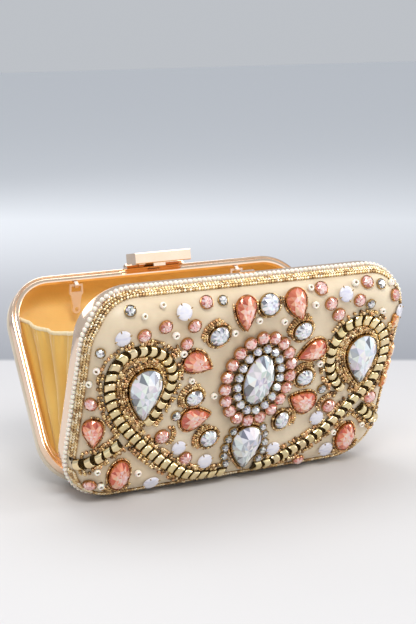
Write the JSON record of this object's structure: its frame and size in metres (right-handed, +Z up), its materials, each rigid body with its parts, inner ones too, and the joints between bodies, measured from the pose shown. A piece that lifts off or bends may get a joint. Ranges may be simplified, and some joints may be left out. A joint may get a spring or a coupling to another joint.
{
  "type": "evening bag",
  "caption": "Rounded box clutch evening bag, standing open: two satin-covered half shells in metal frames, hinged below, with a lever clasp and a beaded, stone-set front.",
  "frame": {"origin": "centre of the bounding box on the surface it stands on", "axes": "+X along the width, to the right seen from the beaded front; +Y towards the back half; +Z up"},
  "size_m": [0.2056, 0.1438, 0.1252],
  "materials": {
    "rose_gold": "polished",
    "gold_chain": "polished",
    "spring_steel": "satin",
    "satin": "satin sheen",
    "gusset_satin": "satin sheen",
    "lining_satin": "satin sheen",
    "card_shell": "matt",
    "pearl": "pearl",
    "clear_crystal": "cut and foiled",
    "peach_crystal": "cut and foiled",
    "pink_crystal": "cut and foiled"
  },
  "bodies": {
    "back_half": {"back_cover": "satin", "back_frame": "rose_gold", "back_hinge_left": "rose_gold", "back_hinge_right": "rose_gold", "back_lining": "lining_satin", "back_shell": "card_shell", "clasp_base": "rose_gold", "clasp_pin": "rose_gold", "clasp_spring": "spring_steel", "hinge_pin_left": "rose_gold", "hinge_pin_right": "rose_gold", "left_gusset": "gusset_satin", "left_strap_lug": "rose_gold", "right_gusset": "gusset_satin", "right_strap_lug": "rose_gold"},
    "front_half": {"bead_braid": "gold_chain", "bottom_pear_stone": "clear_crystal", "centre_stone": "clear_crystal", "clasp_catch": "rose_gold", "clear_round_lower_left": "clear_crystal", "clear_round_lower_right": "clear_crystal", "clear_round_middle_left": "clear_crystal", "clear_round_middle_right": "clear_crystal", "clear_round_top": "clear_crystal", "clear_round_upper_left": "clear_crystal", "clear_round_upper_right": "clear_crystal", "crystal_ring": "clear_crystal", "front_cover": "satin", "front_frame": "rose_gold", "front_hinge_left": "rose_gold", "front_hinge_right": "rose_gold", "front_lining": "lining_satin", "front_shell": "card_shell", "left_box_chain": "gold_chain", "left_pear_stone": "clear_crystal", "left_side_chain": "gold_chain", "peach_oval_left": "peach_crystal", "peach_oval_right": "peach_crystal", "peach_pear_lower_left": "peach_crystal", "peach_pear_lower_right": "peach_crystal", "peach_pear_outer_left": "peach_crystal", "peach_pear_top_left": "peach_crystal", "peach_pear_top_right": "peach_crystal", "peach_pear_upper_left": "peach_crystal", "peach_pear_upper_right": "peach_crystal", "pearl_trim": "pearl", "pink_ring": "pink_crystal", "pink_round_left": "pink_crystal", "pink_round_right": "pink_crystal", "right_box_chain": "gold_chain", "right_pear_stone": "clear_crystal", "right_side_chain": "gold_chain"},
    "clasp": {"clasp_bar": "rose_gold"},
    "left_tab": {"left_strap_tab": "rose_gold"},
    "right_tab": {"right_strap_tab": "rose_gold"}
  },
  "joints": [
    {"name": "bag_hinge", "type": "hinge", "parent": "back_half", "child": "front_half", "pos_m": [0, -0.00866, 0.00681], "axis": [-1, 0, 0], "range_deg": [0, 50.8], "deforming": ["left_gusset", "right_gusset"]},
    {"name": "clasp_pivot", "type": "hinge", "parent": "back_half", "child": "clasp", "pos_m": [0, 0.06162, 0.1118], "axis": [-1, 0, 0], "range_deg": [0, 29]},
    {"name": "left_tab_swing", "type": "hinge", "parent": "back_half", "child": "left_tab", "pos_m": [-0.0546, 0.05555, 0.10464], "axis": [1, 0, 0], "range_deg": [-100, 28]},
    {"name": "right_tab_swing", "type": "hinge", "parent": "back_half", "child": "right_tab", "pos_m": [0.0546, 0.05555, 0.10464], "axis": [1, 0, 0], "range_deg": [-100, 28]}
  ],
  "couplings": [
    {"joint": "clasp_pivot", "follows": "bag_hinge", "ratio": 0.5708}
  ]
}
